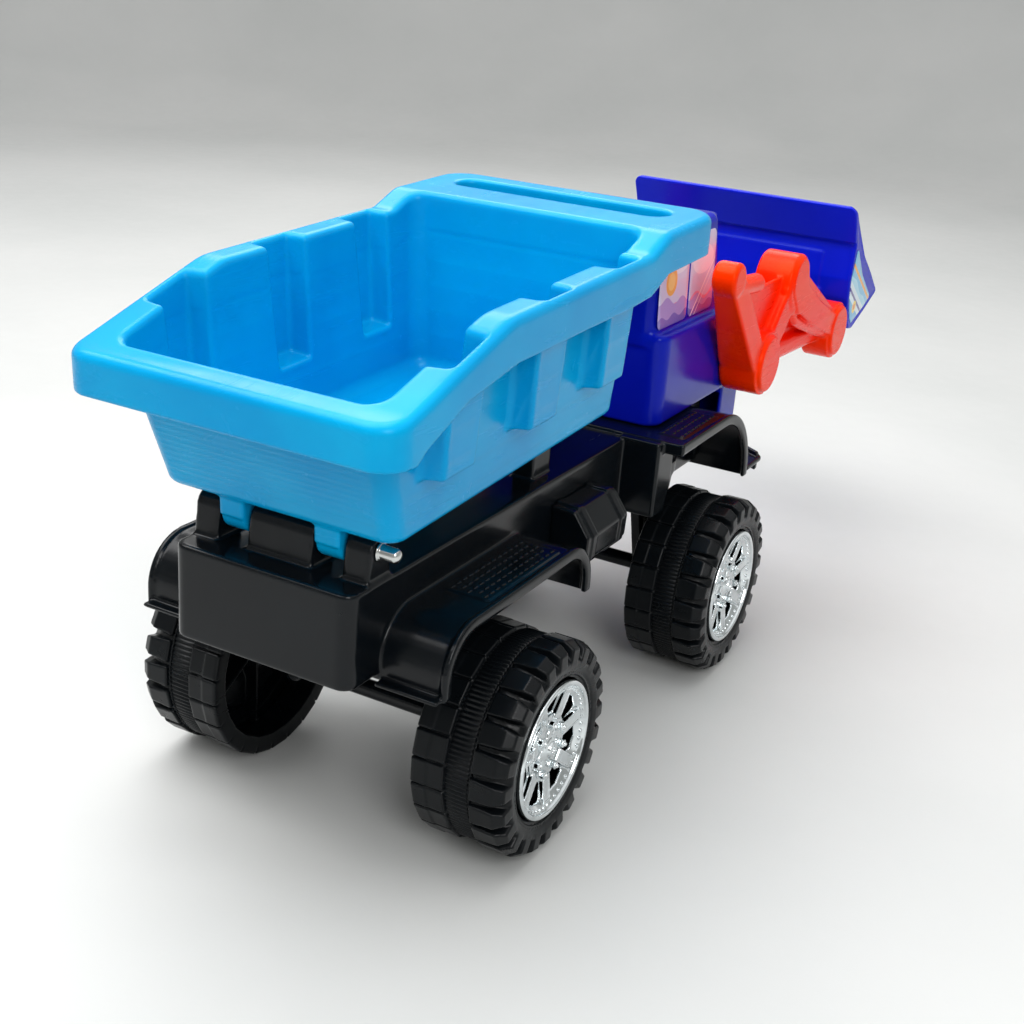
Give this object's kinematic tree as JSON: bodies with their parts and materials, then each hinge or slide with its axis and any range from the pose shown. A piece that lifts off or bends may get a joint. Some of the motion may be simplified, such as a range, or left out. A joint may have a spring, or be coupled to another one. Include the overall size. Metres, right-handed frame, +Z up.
{
  "type": "push along truck",
  "caption": "Large sandpit toy truck with a hinged dump bin behind, a cab, a front loader bucket on lifting arms, and chunky lugged wheels with bright hubcaps.",
  "frame": {"origin": "centre of the footprint, on the ground, midway between the bin's rear lip and the bucket's cutting edge", "axes": "+X forward towards the bucket, +Y to the truck's left, +Z up"},
  "size_m": [1, 0.315, 0.4224],
  "materials": {
    "bin_blue": "glossy moulded polypropylene",
    "cab_blue": "glossy moulded polypropylene",
    "loader_red": "semi-gloss moulded polypropylene",
    "frame_black": "glossy moulded polypropylene",
    "tyre_black": "satin blow moulded polyethylene",
    "hub_chrome": "vacuum metallised plastic",
    "rod_steel": "drawn steel rod",
    "cap_steel": "pressed bright steel",
    "label_print": "printed glossy film"
  },
  "bodies": {
    "frame": {"axle_cap_rear_left": "cap_steel", "axle_cap_rear_right": "cap_steel", "rear_axle": "rod_steel", "axle_cap_front_left": "cap_steel", "axle_cap_front_right": "cap_steel", "front_axle": "rod_steel", "chassis": "frame_black", "front_bumper": "frame_black", "cab": "cab_blue", "windscreen_label": "label_print", "tip_rod": "rod_steel", "tip_rod_cap": "cap_steel", "side_tank_left": "frame_black", "cab_screw_left_1": "rod_steel", "cab_screw_left_2": "rod_steel", "window_label_rear_left": "label_print", "window_label_front_left": "label_print", "arm_pivot_pin_left": "loader_red", "side_tank_right": "frame_black", "cab_screw_right_1": "rod_steel", "cab_screw_right_2": "rod_steel", "window_label_rear_right": "label_print", "window_label_front_right": "label_print", "arm_pivot_pin_right": "loader_red"},
    "bin": {"dump_bin": "bin_blue"},
    "loader_arms": {"bucket_rod": "rod_steel", "loader_arm_left": "loader_red", "loader_arm_right": "loader_red"},
    "bucket": {"bucket": "cab_blue", "bucket_label_left": "label_print", "bucket_label_right": "label_print"},
    "wheel_rear_left": {"tyre_outer_rear_left": "tyre_black", "tyre_inner_rear_left": "tyre_black", "hubcap_rear_left": "hub_chrome"},
    "wheel_rear_right": {"tyre_outer_rear_right": "tyre_black", "tyre_inner_rear_right": "tyre_black", "hubcap_rear_right": "hub_chrome"},
    "wheel_front_left": {"tyre_outer_front_left": "tyre_black", "tyre_inner_front_left": "tyre_black", "hubcap_front_left": "hub_chrome"},
    "wheel_front_right": {"tyre_outer_front_right": "tyre_black", "tyre_inner_front_right": "tyre_black", "hubcap_front_right": "hub_chrome"}
  },
  "joints": [
    {"name": "wheel_spin_rear_left", "type": "hinge", "parent": "frame", "child": "wheel_rear_left", "pos_m": [-0.31903, 0.12, 0.08], "axis": [0, 1, 0], "continuous": true},
    {"name": "wheel_spin_rear_right", "type": "hinge", "parent": "frame", "child": "wheel_rear_right", "pos_m": [-0.31903, -0.12, 0.08], "axis": [0, 1, 0], "continuous": true},
    {"name": "wheel_spin_front_left", "type": "hinge", "parent": "frame", "child": "wheel_front_left", "pos_m": [0.03197, 0.12, 0.08], "axis": [0, 1, 0], "continuous": true},
    {"name": "wheel_spin_front_right", "type": "hinge", "parent": "frame", "child": "wheel_front_right", "pos_m": [0.03197, -0.12, 0.08], "axis": [0, 1, 0], "continuous": true},
    {"name": "bin_tip", "type": "hinge", "parent": "frame", "child": "bin", "pos_m": [-0.42403, 0, 0.246], "axis": [0, -1, 0], "range_deg": [0, 55]},
    {"name": "loader_lift", "type": "hinge", "parent": "frame", "child": "loader_arms", "pos_m": [0.14097, 0, 0.261], "axis": [0, -1, 0], "range_deg": [-30, 30]},
    {"name": "bucket_tilt", "type": "hinge", "parent": "loader_arms", "child": "bucket", "pos_m": [0.36497, 0, 0.251], "axis": [0, -1, 0], "range_deg": [-45, 35]}
  ]
}
